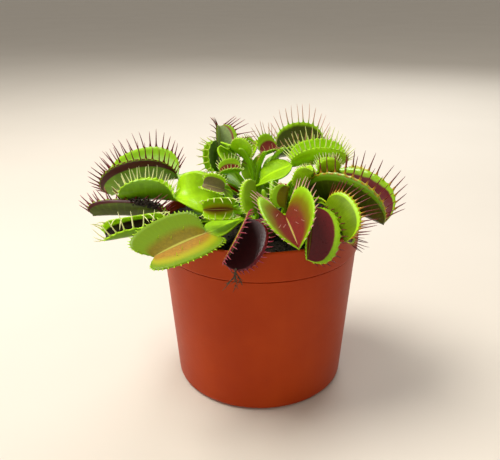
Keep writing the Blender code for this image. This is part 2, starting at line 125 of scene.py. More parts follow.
LEAVES = (
    # left side
    leaf("leaf_left_large", 0, (-36, 12, 88), 174, -16, 2, 33, 17.5, (60, 4), blade=7.5, rise=15,
         leave=140),
    leaf("leaf_left_broad", 0, (-36, -6, 84), 180, 0, -14, 22, 10.5, (74, -16), ears=(0.1, 0.45),
         blade=10.5, rise=17, reach=10, twist=-42, leave=176, low=1, colour="bright"),
    leaf("leaf_left_closed", 0, (-40.5, -12.4, 78.4), 168, -2, -25, 31, 7.5, (80, -40), blade=3,
         rise=5.5, reach=10, leave=207, low=-0.5, colour="olive"),
    leaf("leaf_left_low", 0, (-39, -20, 76.8), 192, -5, 38, 23, 9, (82, -42), blade=2.2, rise=1,
         reach=8.5, leave=240, low=-0.5),
    leaf("leaf_cup", 0, (-15, -7, 88), 172, 14, 50, 9, 7, (60, 10), blade=2.4, rise=8, leave=264,
         low=0.5, colour="bright"),
    # front
    leaf("leaf_front_wide", 3, (-21, -30, 78), 220, -7, 16, 24, 14, (80, 68), ears=(0.4, 1.6),
         blade=6.6, rise=10, twist=20, leave=185, colour="bright"),
    leaf("leaf_front_eye", 0, (-11, -22, 85.2), 196, 4, 68, 12, 7.5, (66, 5), blade=2.4, rise=10.5,
         reach=11, leave=300, low=-0.5),
    leaf("leaf_front_half", 3, (-1.8, -22.5, 83.5), 100, 70, 90, 13, 6.5, (50, 0), blade=1.8,
         rise=10.5, reach=4, leave=226, low=2.2),
    leaf("leaf_front_dark", 3, (-5.5, -34, 86), 235, -42, 70, 20, 12, (44, 26), blade=2.4, rise=1,
         reach=5, leave=230, low=-1, colour="maroon"),
    leaf("leaf_front_heart", 3, (10, -20, 81), 278, -6, -13, 26, 16.5, (46, 30), ears=(1.3, 0.1),
         blade=3.5, rise=8, reach=7, leave=261, colour="bright"),
    leaf("leaf_front_disc", 3, (19.5, -24, 86.3), 262, -33, 42, 24, 12, (70, 44), blade=3, rise=14,
         reach=7.5, leave=352, lobes=(1, 0.25), colour="maroon"),
    leaf("leaf_front_small", 3, (10, -12, 82), 60, 70, 90, 9, 7, (66, 20), blade=2.4, rise=8,
         reach=8, leave=39, low=-0.5),
    # right
    leaf("leaf_right_second", 2, (26, -18.5, 86), 296, -33, 70, 19, 11.5, (66, 16), blade=2.4,
         rise=11, reach=7.5, leave=297, low=-1, lobes=(0.8, 1), colour="maroon"),
    leaf("leaf_right_large", 2, (22, -3.5, 83), 328, -8, 8, 33, 19, (58, 4), blade=4, rise=7,
         reach=6, leave=330, colour="olive"),
    leaf("leaf_right_green", 1, (14.5, 11, 93.4), 2, 2, -6, 23, 11.5, (66, -6), blade=8.5, rise=16,
         twist=30, leave=252, colour="bright"),
    leaf("leaf_right_round", 2, (24.6, -0.5, 93.8), 5, 4, 10, 9, 7, (60, 10), blade=3, rise=5.5,
         leave=13, colour="bright"),
    leaf("leaf_right_inner", 2, (15.5, -3, 92.5), 345, 4, 10, 7.5, 5.5, (60, 10), blade=2.2,
         leave=274, low=1),
    leaf("leaf_right_small", 2, (17, -11.5, 90.5), 330, 60, 10, 9, 6, (60, 10), blade=2.2,
         rise=8.5, reach=8, leave=230, colour="bright"),
    leaf("leaf_dry", 2, (40, 15, 90), 335, -12, 0, 10, 4.5, (84, 60), blade=1.6, leave=45,
         colour="dry"),
    # back
    leaf("leaf_back_right", 1, (9, 29, 92.5), 5, 4, -18, 22, 15, (62, 16), blade=4.4, leave=20,
         colour="olive"),
    leaf("leaf_back_middle", 1, (1.2, 25.7, 94), 5, 20, -30, 8, 9, (60, 20), blade=3.3, rise=10,
         reach=12.5, leave=56, low=-0.5),
    leaf("leaf_back_round", 1, (-5, 33, 91.5), 40, 60, -30, 8, 6.5, (60, 20), blade=4, rise=6.5,
         reach=10.5, leave=88, low=-1, colour="bright"),
    leaf("leaf_back_olive", 1, (-13, 23, 99), 340, -35, 30, 10, 8, (60, 20), blade=7, rise=19.5,
         reach=7.5, leave=221, low=2.2),
    leaf("leaf_back_tall", 1, (-18.2, 31.6, 90), 95, 76, -32, 16, 9, (54, 32), blade=4.5,
         leave=150, colour="olive"),
    leaf("leaf_back_left", 1, (-18.5, 18, 89), 100, 72, 70, 13, 7, (72, -24), blade=3, rise=11,
         reach=8.5, leave=179, low=0.5, colour="olive"),
    leaf("leaf_back_small", 1, (-17, 5.5, 91.5), 10, 5, -20, 9, 6, (60, 20), blade=2.6, rise=8,
         reach=10, leave=210, low=-0.5),
)


def unit(v):
    v = np.asarray(v, float)
    return v / np.linalg.norm(v)


def smooth(x):
    return x * x * (3 - 2 * x)


def heading_vector(heading, pitch):
    a, p = np.radians(heading), np.radians(pitch)
    return np.array([np.cos(p) * np.cos(a), np.cos(p) * np.sin(a), np.sin(p)])


def turned(v, axis, degrees):
    """Vector v turned about a unit axis."""
    a = np.radians(degrees)
    aside = np.cross(axis, v) * np.sin(a)
    return v * np.cos(a) + aside + axis * np.dot(axis, v) * (1 - np.cos(a))


def trap_frame(row):
    """Directions at the hinge: along the midrib, out of the mouth, and to the left lobe."""
    along = heading_vector(row["heading"], row["pitch"])
    mouth = unit(UP - along[2] * along)
    mouth = turned(mouth, along, -row["roll"])
    return along, mouth, np.cross(mouth, along)


def lobe_outline(s, row):
    """Rim of a flat lobe at station s from 0 to 1: how far along the midrib, and how far out."""
    turn = np.pi * s
    ear = row["ears"][0] * (1 - s) + row["ears"][1] * s
    along = row["length"] / 2 * (1 - (1 + ear * np.sin(turn)) * np.cos(turn))
    return along, NECK * (1 - 0.5 * s) + (row["lobe"] - NECK) * np.sin(turn)


def lobe_section(depth, row):
    """Section of a lobe as an arc: how far aside and how far up at a depth from the midrib."""
    root, rim = np.radians(row["gape"])
    rate = (rim - root) / row["lobe"]
    theta = root + rate * depth
    return (np.cos(root) - np.cos(theta)) / rate, (np.sin(theta) - np.sin(root)) / rate


def trap_point(row, s, v):
    """Point of the trap's middle surface: s runs along the midrib, v from -1 to 1 across it."""
    along, mouth, left = trap_frame(row)
    station = 0.5 * s + 0.25 * (1 - np.cos(np.pi * s))
    rim_along, rim_out = lobe_outline(s, row)
    bend = np.radians(row["bend"])
    turn = bend * (station - 0.5)
    forward = row["length"] / bend * (np.sin(turn) + np.sin(bend / 2))
    lift = row["length"] / bend * (np.cos(bend / 2) - np.cos(turn))
    tangent = along * np.cos(turn) + mouth * np.sin(turn)
    normal = mouth * np.cos(turn) - along * np.sin(turn)
    origin = np.asarray(row["joint"], float) + along * forward - mouth * lift
    share = row["lobes"][0 if v > 0 else 1]
    out, up = lobe_section(abs(v) * rim_out * share, row)
    shift = abs(v) * (rim_along - station * row["length"]) * share
    return origin + tangent * shift + left * np.sign(v) * out + normal * up


def crown_axis(row):
    return np.array([*CROWNS[row["crown"]][1], 0.0])


def petiole_curve(row):
    """Control points of the petiole's middle line, from the crown to the hinge."""
    crown = crown_axis(row)
    joint = np.asarray(row["joint"], float)
    away = joint[:2] - crown[:2]
    angle = np.degrees(np.arctan2(away[1], away[0])) if row["leave"] is None else row["leave"]
    outward = heading_vector(angle, 0)
    start = crown + outward * (CROWN_RADIUS + BASE_GAP + 0.45)
    start[2] = CROWN_BASE_Z + 2.6 + row["low"]
    along = trap_frame(row)[0]
    ending = unit(unit(joint - start) + along)
    first = start + outward * 0.35 * row["rise"] + np.array([0, 0, 0.9 * row["rise"]])
    return start, first, joint - ending * row["reach"], joint


def petiole_half_width(t, row):
    """Half width of the winged petiole: narrow foot, broad shoulders, short neck."""
    swell = np.sin(np.pi / 2 * min(1, t / 0.62)) ** 1.6
    foot = BASE_HALF_WIDTH + (row["blade"] - BASE_HALF_WIDTH) * swell
    if t <= 0.7:
        return foot
    drop = (t - 0.7) / 0.3
    return NECK + (foot - NECK) * max(0, 1 - drop**2) ** 0.6


def petiole_point(row, t, v):
    p0, p1, p2, p3 = petiole_curve(row)
    m = 1 - t
    centre = m**3 * p0 + 3 * m * m * t * p1 + 3 * m * t * t * p2 + t**3 * p3
    tangent = unit(3 * m * m * (p1 - p0) + 6 * m * t * (p2 - p1) + 3 * t * t * (p3 - p2))
    crown = crown_axis(row)
    inward = unit(np.array([crown[0] - p0[0], crown[1] - p0[1], 0.0]))
    mouth = trap_frame(row)[1]
    near = max(0, 1 - t / 0.35)
    end = smooth(max(0, (t - 0.55) / 0.45))
    face = near * inward + (1 - near) * ((1 - end) * (UP + 0.25 * inward) + end * mouth)
    face = unit(face - np.dot(face, tangent) * tangent)
    face = turned(face, tangent, row["twist"] * np.sin(np.pi * t))
    left = np.cross(face, tangent)
    half = petiole_half_width(t, row)
    fold = np.radians(row["fold"]) * np.sin(np.pi * min(1, t))
    return centre + left * half * v * np.cos(fold) + face * half * abs(v) * np.sin(fold)


def leaf_sheet(row, along_petiole, along_trap, across):
    """Middle surface of a leaf as a grid: rows from foot to tip, columns from right to left."""
    columns = [c / across for c in range(-across, across + 1)]
    stalk = [i / along_petiole for i in range(along_petiole)]
    grid = [[petiole_point(row, t, v) for v in columns] for t in stalk]
    grid += [[trap_point(row, s, v) for v in columns] for s in np.linspace(0, 1, along_trap + 1)]
    return np.array(grid)


def young_leaf(name, crown, foot, tip, arch, girth):
    """An unopened leaf: its place on its crown, its tip, how far it arches up, half its girth."""
    return locals()


YOUNG_LEAVES = (
    young_leaf("young_leaf_tall", 1, (-1.6, 1.2), (3, 15, 98.5), 0.0, 1.15),
    young_leaf("young_leaf_back", 1, (1.8, 0.8), (12.4, 17.4, 99.5), 2.0, 1.05),
    young_leaf("young_leaf_upright", 1, (-1.4, -1.9), (-9, 15, 100), 0.0, 1.25),
    young_leaf("young_leaf_left", 0, (0.0, 0.0), (-16, -4, 89), 3.0, 1.25),
    young_leaf("young_leaf_right", 3, (1.6, 2.4), (5, -3, 91), 1.0, 1.05),
    young_leaf("young_leaf_front", 3, (0.0, 0.0), (1, -12, 90), 0.0, 1.0),
)

# A dried scrap of moss that hangs from the lowest front trap.
SPRIG_STEM = ((-9.3, -49.3, 72.4), (-9.8, -50.1, 69.4), (-12.4, -51.1, 66.8))
SPRIG_BRANCHES = (
    ((-9.6, -49.7, 70.6), (-9.6, -51.1, 66.4)),
    ((-9.6, -49.5, 70.8), (-7.4, -50.8, 67.8)),
)


# ---- leaf looks
PALETTE = {
    "lime": (0.42, 0.74, 0.004),
    "bright": (0.28, 0.52, 0.002),
    "green": (0.150, 0.32, 0.002),
    "deep": (0.050, 0.11, 0.002),
    "olive": (0.055, 0.075, 0.001),
    "bronze": (0.20, 0.15, 0.001),
    "pale": (0.36, 0.56, 0.10),
    "frost": (0.34, 0.44, 0.16),
    "maroon": (0.13, 0.006, 0.008),
    "wine": (0.20, 0.022, 0.014),
    "salmon": (0.37, 0.19, 0.015),
    "umber": (0.20, 0.16, 0.07),
    "black": (0.020, 0.004, 0.005),
    "crimson": (0.14, 0.003, 0.008),
    "pink": (0.66, 0.33, 0.28),
    "rose": (0.30, 0.03, 0.06),
    "cream": (0.82, 0.84, 0.36),
    "straw": (0.56, 0.56, 0.08),
    "amber": (0.50, 0.27, 0.004),
    "claret": (0.060, 0.002, 0.004),
    "moss": (0.16, 0.27, 0.001),
    "sloe": (0.034, 0.003, 0.004),
    "ochre": (0.36, 0.35, 0.006),
    "dry": (0.62, 0.42, 0.10),
}


def look(skin, flesh, rim="lime", root="lime", tip="cream", **extra):
    """Looks of one leaf: the colours of its outer face, inner face, rim and teeth, then its teeth.

    glow and fade are the colour and the place of the change from the inner face to the rim, and
    line and hem those of a dark band on the outer face. A tooth has a length in millimetres.
    """
    row = dict(
        skin=skin, flesh=flesh, flesh_right=flesh, glow=rim, glow_right=None, rim=rim, root=root,
        tip=tip, blade="bright", line=skin, hem=0.80, fade=(0.52, 0.80), teeth=15, tooth=7.0,
        taper=0.38, spread=0.35, curl=0.15, gloss=0.36, hairs=0,
    )
    row.update(extra)
    row["glow_right"] = row["glow_right"] or row["glow"]
    return row


LOOKS = {
    "leaf_left_large": look("green", "pale", "bright", "crimson", "rose", blade="lime",
        line="claret", hem=0.74, teeth=21, tooth=7.6, curl=0.02, fade=(0.7, 0.95)),
    "leaf_left_broad": look("green", "green", blade="lime", teeth=13, tooth=5.6, curl=0.05),
    "leaf_left_closed": look("olive", "olive", "bright", "crimson", "rose", line="claret", hem=0.74,
        tooth=7.5, curl=0.1),
    "leaf_left_low": look("green", "black", teeth=13, tooth=6.8, curl=0.5),
    "leaf_cup": look("bright", "umber", teeth=13, tooth=2.6, fade=(0.7, 0.9)),
    "leaf_front_wide": look("bright", "salmon", "moss", "bright", "lime", flesh_right="bronze",
        glow="ochre", glow_right="moss", teeth=26, tooth=1.6, curl=-0.1, fade=(0.3, 0.9), hairs=3,
        gloss=0.42),
    "leaf_front_eye": look("bright", "maroon", "bright", glow="ochre", teeth=9, tooth=4.6, curl=0.7,
        fade=(0.05, 0.55)),
    "leaf_front_half": look("bright", "bright", teeth=17, tooth=1.2),
    "leaf_front_dark": look("sloe", "sloe", "crimson", "rose", "rose", line="amber", teeth=19,
        tooth=3.4, fade=(0.85, 0.99), gloss=0.24, curl=0.5),
    "leaf_front_heart": look("bright", "wine", "bright", "lime", "pink", glow="bronze", teeth=16,
        taper=-0.85, fade=(0.4, 0.94), hairs=3, curl=-0.1),
    "leaf_front_disc": look("bright", "maroon", "bright", "lime", "crimson", glow="wine", tooth=3.6,
        fade=(0.76, 0.84), gloss=0.22, curl=0.1),
    "leaf_front_small": look("bronze", "wine", "bright", glow="amber", line="bright", hem=0.6,
        teeth=9, tooth=3.4, fade=(0.2, 0.7)),
    "leaf_right_second": look("moss", "maroon", "lime", "amber", "crimson", teeth=19, tooth=7.5,
        gloss=0.24, line="lime", fade=(0.8, 0.9), taper=0.2),
    "leaf_right_large": look("olive", "maroon", "bright", "amber", "crimson", line="green",
        teeth=18, tooth=8.2, gloss=0.24, curl=0.05, fade=(0.84, 0.92)),
    "leaf_right_green": look("lime", "bright", teeth=21, tooth=6.4, curl=0.02),
    "leaf_right_round": look("lime", "bright", tooth=3.2),
    "leaf_right_inner": look("green", "green", teeth=17, tooth=1.4),
    "leaf_right_small": look("bright", "bright", tip="straw", teeth=13, tooth=1.4),
    "leaf_dry": look("dry", "dry", "straw", "straw", "dry", blade="dry", teeth=7, tooth=1.6,
        gloss=0.7),
    # Its inner face is dark olive: partly its own colour, partly painted shade inside the trap's
    # mouth.
    "leaf_back_right": look("green", "olive", "bright", "bright", "pink", glow="olive", teeth=17,
        tooth=9.0, curl=0.02, fade=(0.75, 0.95)),
    "leaf_back_middle": look("green", "wine", "bright", "bright", "pink", teeth=11, tooth=7.5,
        curl=0.02),
    "leaf_back_round": look("bright", "bright", tip="straw", tooth=3.2),
    "leaf_back_olive": look("bright", "olive", teeth=16, tooth=1.4),
    "leaf_back_tall": look("maroon", "frost", "bright", "crimson", "rose", line="crimson",
        glow="rose", tooth=8.5, curl=-0.35, fade=(0.62, 0.86)),
    "leaf_back_left": look("deep", "olive", "bright", tip="straw", teeth=9, tooth=5.0),
    "leaf_back_small": look("bright", "wine", "bright", "bright", teeth=13, tooth=3.0,
        fade=(0.5, 0.8)),
}

# ---- leaf meshes
THICK_SPINE = 0.62  # half thickness along the midrib, in millimetres
THICK_LOBE = 0.40
THICK_RIM = 0.30
KEEL = 0.30  # extra thickness of the midrib on the outer face
LARGE_TRAP = 14  # a trap longer than this gets the finer sheet
FINE_STEPS = (22, 100, 10)  # rows of the stalk, rows of the trap, columns of half a leaf
PLAIN_STEPS = (14, 60, 7)
TOOTH_RINGS = 8
TOOTH_SIDES = 5
TOOTH_SPAN = (0.05, 0.95)  # part of the rim that bears teeth
TOOTH_JITTER = 0.12  # of the step from tooth to tooth
TOOTH_TURN = 0.05  # scatter of a tooth's direction
TOOTH_SWAY = 0.035  # scatter of its curl
TOOTH_SIZES = (0.86, 1.08)
TOOTH_SINK = 0.35  # how deep its root sits in the rim, in millimetres
TOOTH_FLAT = 0.75
HAIR_RINGS = 4
HAIR_PLACES = ((0.4, 0.42), (0.55, 0.28), (0.62, 0.5))  # along the lobe, and out from the midrib
HAIR_LENGTH = 1.9
HAIR_GIRTH = 0.10
HAIR_LEAN = 0.1
SCALLOP = 0.34  # how far the rim swells out at the root of a tooth, in millimetres


def skins(sheet):
    """Unit normals of a leaf's middle surface, pointing out of its upper, inner face."""
    down = np.gradient(sheet, axis=0)
    across = np.gradient(sheet, axis=1)
    normals = np.cross(down, across)
    normals /= np.linalg.norm(normals, axis=2, keepdims=True)
    middle = sheet.shape[1] // 2
    spine = normals[:, middle : middle + 1]
    half_width = np.linalg.norm(sheet[:, -1] - sheet[:, middle], axis=1)[:, None, None]
    share = np.clip((half_width - 1.0) / 2.5, 0, 1)
    normals = spine * (1 - share) + normals * share
    return normals / np.linalg.norm(normals, axis=2, keepdims=True)


def mesh_of(name, points, faces):
    """A mesh from points in millimetres."""
    mesh = bpy.data.meshes.new(name)
    mesh.from_pydata([[c * MM for c in point] for point in points], [], faces)
    return mesh


def new_object(name, data):
    made = bpy.data.objects.new(name, data)
    bpy.context.scene.collection.objects.link(made)
    return made


def tube_faces(rings, sides):
    """Faces of a tube of equal rings, with both ends closed."""
    faces = []
    for k in range(rings - 1):
        low, high = k * sides, (k + 1) * sides
        for i in range(sides):
            j = (i + 1) % sides
            faces.append([low + i, low + j, high + j, high + i])
    faces.append(list(reversed(range(sides))))
    faces.append([(rings - 1) * sides + i for i in range(sides)])
    return faces


class Body:
    """Points, faces and per-point values of one piece."""

    FIELDS = ("depth", "inner", "organ", "tooth", "ribs", "side")

    def __init__(self):
        self.points = []
        self.faces = []
        self.values = {field: [] for field in self.FIELDS}

    def add(self, point, **values):
        self.points.append(point)
        for field in self.FIELDS:
            self.values[field].append(values.get(field, 0.0))
        return len(self.points) - 1

    def piece(self, name):
        mesh = mesh_of(name, self.points, self.faces)
        for field in self.FIELDS:
            layer = mesh.attributes.new(field, "FLOAT", "POINT")
            layer.data.foreach_set("value", np.array(self.values[field], np.float32))
        mesh.update()
        mesh.shade_smooth()
        return new_object(name, mesh)


def tooth_phase(s, teeth):
    """Counts teeth along the rim: it is k + 0.5 at the root of tooth k."""
    low, high = TOOTH_SPAN
    return (s - low) / (high - low) * teeth


def scalloped(sheet, along_petiole, along_trap, teeth):
    """The sheet with its trap's rim swollen at each tooth and drawn in between."""
    columns = sheet.shape[1]
    places = np.abs(np.linspace(-1, 1, columns))
    weight = np.clip((places - 0.72) / 0.28, 0, 1) ** 2
    made = sheet.copy()
    for i in range(along_petiole + 1, sheet.shape[0]):
        s = (i - along_petiole) / along_trap
        if not TOOTH_SPAN[0] < s < TOOTH_SPAN[1]:
            continue
        swell = -0.5 * np.cos(2 * np.pi * tooth_phase(s, teeth))
        for edge, inner in ((0, 1), (columns - 1, columns - 2)):
            outward = unit(sheet[i, edge] - sheet[i, inner] + 1e-9)
            half = slice(0, columns // 2) if edge == 0 else slice(columns // 2 + 1, columns)
            made[i, half] += outward * (SCALLOP * swell * weight[half])[:, None]
    return made


def add_skin(body, row, style, steps):
    """The leaf itself: a closed sheet with a round rim, thick at the midrib and thin at the rim."""
    along_petiole, along_trap, across = steps
    teeth = style["teeth"]
    sheet = leaf_sheet(row, along_petiole, along_trap, across)
    normals = skins(sheet)
    sheet = scalloped(sheet, along_petiole, along_trap, teeth)
    rows, columns = sheet.shape[:2]
    places = np.abs(np.linspace(-1, 1, columns))
    index = {}
    for face in (1, -1):
        for i in range(rows):
            organ = min(1.0, max(0.0, (i - along_petiole + 2) / 2))
            station = max(0.0, (i - along_petiole) / along_trap)
            for j in range(columns):
                depth = places[j]
                half = THICK_SPINE + (THICK_LOBE - THICK_SPINE) * min(1, depth * 4)
                half += (THICK_RIM - THICK_LOBE) * depth**3
                if face < 0:
                    half += KEEL * max(0, 1 - depth * 6)
                index[face, i, j] = body.add(
                    sheet[i, j] + normals[i, j] * half * face,
                    depth=depth, inner=(face + 1) / 2, organ=organ,
                    ribs=tooth_phase(station, teeth) if organ else i * 0.7,
                    side=1.0 if j > columns // 2 else 0.0,
                )
    for i in range(rows - 1):
        for j in range(columns - 1):
            ring = ((i, j), (i, j + 1), (i + 1, j + 1), (i + 1, j))
            body.faces.append([index[1, a, b] for a, b in ring])
            body.faces.append([index[-1, a, b] for a, b in (ring[0], ring[3], ring[2], ring[1])])
    border = [(0, j) for j in range(columns)]
    border += [(i, columns - 1) for i in range(1, rows)]
    border += [(rows - 1, j) for j in range(columns - 2, -1, -1)]
    border += [(i, 0) for i in range(rows - 2, 0, -1)]
    for (i, j), (k, m) in zip(border, border[1:] + border[:1]):
        body.faces.append([index[1, i, j], index[-1, i, j], index[-1, k, m], index[1, k, m]])


def add_spike(body, root, direction, sway, length, girth, flat, rings, **values):
    """A tapered tooth or hair that leaves root along direction and sways towards its tip."""
    side = unit(np.cross(direction, sway) + 1e-6)
    last = None
    for ring in range(rings):
        t = ring / (rings - 1)
        centre = root + length * (direction * t + sway * t * t)
        tangent = unit(direction + 2 * sway * t)
        thin = np.cross(tangent, side)
        radius = girth * (1 - t) ** 0.6 + 0.05
        foot = 1 + 1.3 * max(0, 1 - t * 5)
        here = []
        for k in range(TOOTH_SIDES):
            turn = 2 * np.pi * k / TOOTH_SIDES
            offset = radius * (foot * np.cos(turn) * side + flat * np.sin(turn) * thin)
            here.append(body.add(centre + offset, tooth=0.12 + 0.88 * t, organ=1.0, **values))
        if last:
            for k in range(TOOTH_SIDES):
                m = (k + 1) % TOOTH_SIDES
                body.faces.append([last[k], last[m], here[m], here[k]])
        last = here
    body.faces.append(last)


def add_teeth(body, row, style):
    """Teeth along both rims, fanned out along the trap and leaning towards its mouth."""
    along, mouth, left = trap_frame(row)
    count = style["teeth"]
    for share, v in ((row["lobes"][0], 1), (row["lobes"][1], -1)):
        if share < 0.4:
            continue
        for k in range(count):
            s = (k + 0.5 + random.uniform(-TOOTH_JITTER, TOOTH_JITTER)) / count
            s = TOOTH_SPAN[0] + (TOOTH_SPAN[1] - TOOTH_SPAN[0]) * s
            root = trap_point(row, s, v)
            before = trap_point(row, s, v * 0.93)
            ahead = trap_point(row, min(1, s + 0.02), v) - trap_point(row, max(0, s - 0.02), v)
            outward = unit(root - before)
            ahead = unit(ahead)
            fan = 2 * (s - 0.5) * style["spread"]
            direction = unit(outward + along * fan + random.normal(0, TOOTH_TURN, 3))
            inward = np.cross(ahead, outward) * v
            if np.dot(inward, -left * v) < 0 and np.dot(inward, mouth) < 0:
                inward = -inward
            sway = inward * style["curl"] + random.normal(0, TOOTH_SWAY, 3)
            taper = style["taper"]
            share_here = 1 - taper * (1 - np.sin(np.pi * s)) if taper > 0 else 1 + taper * s
            size = style["tooth"] * share_here * random.uniform(*TOOTH_SIZES)
            girth = 0.11 + 0.015 * row["length"] ** 0.75
            root = root - outward * TOOTH_SINK
            add_spike(
                body, root, direction, sway, size, girth, TOOTH_FLAT, TOOTH_RINGS, depth=1.0,
                ribs=k + 0.5,
            )


def add_hairs(body, row):
    """Trigger hairs: a triangle of fine bristles on each lobe's inner face."""
    left = trap_frame(row)[2]
    for v in (1, -1):
        for s, depth in HAIR_PLACES:
            root = trap_point(row, s, v * depth)
            down = trap_point(row, s + 0.03, v * depth) - root
            out = trap_point(row, s, v * (depth + 0.04)) - root
            normal = unit(np.cross(down, out)) * v
            sway = left * HAIR_LEAN * v
            add_spike(
                body, root, normal, sway, HAIR_LENGTH, HAIR_GIRTH, 1.0, HAIR_RINGS, depth=0.5,
            )


def leaf_piece(row, style):
    """One whole leaf: its sheet, its teeth and, where they show, its trigger hairs."""
    steps = FINE_STEPS if row["length"] > LARGE_TRAP else PLAIN_STEPS
    body = Body()
    add_skin(body, row, style, steps)
    add_teeth(body, row, style)
    if style["hairs"]:
        add_hairs(body, row)
    return body.piece(row["name"] + "_skin")


# ---- materials
class Shader:
    """A material under construction, with short calls for the nodes it needs."""

    def __init__(self, name):
        self.material = bpy.data.materials.new(name)
        self.material.use_nodes = True
        self.tree = self.material.node_tree
        self.surface = self.tree.nodes["Principled BSDF"]

    def node(self, kind, inputs=None, **settings):
        made = self.tree.nodes.new(kind)
        for key, value in settings.items():
            setattr(made, key, value)
        for key, value in (inputs or {}).items():
            self.put(made.inputs[key], value)
        return made

    def put(self, socket, value):
        if isinstance(value, bpy.types.NodeSocket):
            self.tree.links.new(value, socket)
        elif isinstance(value, tuple) and len(value) == 3 and socket.type == "RGBA":
            socket.default_value = (*value, 1.0)
        else:
            socket.default_value = value

    def value(self, name):
        return self.node("ShaderNodeAttribute", attribute_name=name).outputs["Fac"]

    def maths(self, operation, a, b=0.0):
        return self.node("ShaderNodeMath", {0: a, 1: b}, operation=operation).outputs[0]

    def between(self, value, low, high):
        """0 below low, 1 above high, with a smooth step between them."""
        inputs = {"Value": value, "From Min": low, "From Max": high}
        made = self.node("ShaderNodeMapRange", inputs, interpolation_type="SMOOTHSTEP")
        return made.outputs["Result"]

    def times(self, a, b):
        return self.maths("MULTIPLY", a, b)

    def rest_of(self, value):
        return self.maths("SUBTRACT", 1.0, value)

    def mix(self, share, a, b, blend="MIX"):
        inputs = {"Factor": share, 6: a, 7: b}
        return self.node("ShaderNodeMix", inputs, data_type="RGBA", blend_type=blend).outputs[2]

    def ramp(self, value, low, high, a, b):
        """Colour a below low, b above high."""
        return self.mix(self.between(value, low, high), a, b)

    def shaded(self, colour, amount):
        """A colour socket made darker or lighter."""
        return self.mix(1.0, colour, (amount,) * 3, "MULTIPLY")

    def noise(self, scale, detail=3.0, roughness=0.55, stretch=None):
        inputs = {"Scale": scale, "Detail": detail, "Roughness": roughness}
        made = self.node("ShaderNodeTexNoise", inputs)
        self.place(made, stretch)
        return made.outputs["Fac"]

    def cells(self, scale):
        made = self.node("ShaderNodeTexVoronoi", {"Scale": scale})
        self.place(made)
        return made.outputs["Distance"]

    def place(self, texture, stretch=None):
        """Lays a texture on the piece in object space, stretched along each axis if asked."""
        coordinates = self.node("ShaderNodeTexCoord").outputs["Object"]
        if stretch:
            inputs = {"Vector": coordinates, "Scale": stretch}
            coordinates = self.node("ShaderNodeMapping", inputs).outputs["Vector"]
        self.put(texture.inputs["Vector"], coordinates)

    def bump(self, height, strength, distance):
        inputs = {"Strength": strength, "Distance": distance, "Height": height}
        return self.node("ShaderNodeBump", inputs).outputs["Normal"]

    def finish(self, colour, roughness, normal=None, **constants):
        constants.update(Base_Color=colour, Roughness=roughness)
        if normal is not None:
            constants["Normal"] = normal
        for key, value in constants.items():
            self.put(self.surface.inputs[key.replace("_", " ")], value)
        return self.material


def shade(colour, amount):
    return tuple(c * amount for c in colour)


LEAF_COLOURS = (
    "skin", "flesh", "flesh_right", "glow", "glow_right", "rim", "root", "tip", "blade", "line",
)
LEAF_SCATTER = (0.9, 1.2, 0.25)  # how far red, green and blue light spread in a leaf
OUTER_GLOSS = 0.40  # roughness of a leaf's outer face
WET_GLOSS = 0.3  # an inner face smoother than this has a wet coat
WET_COAT = 0.45
DRY_COAT = 0.16


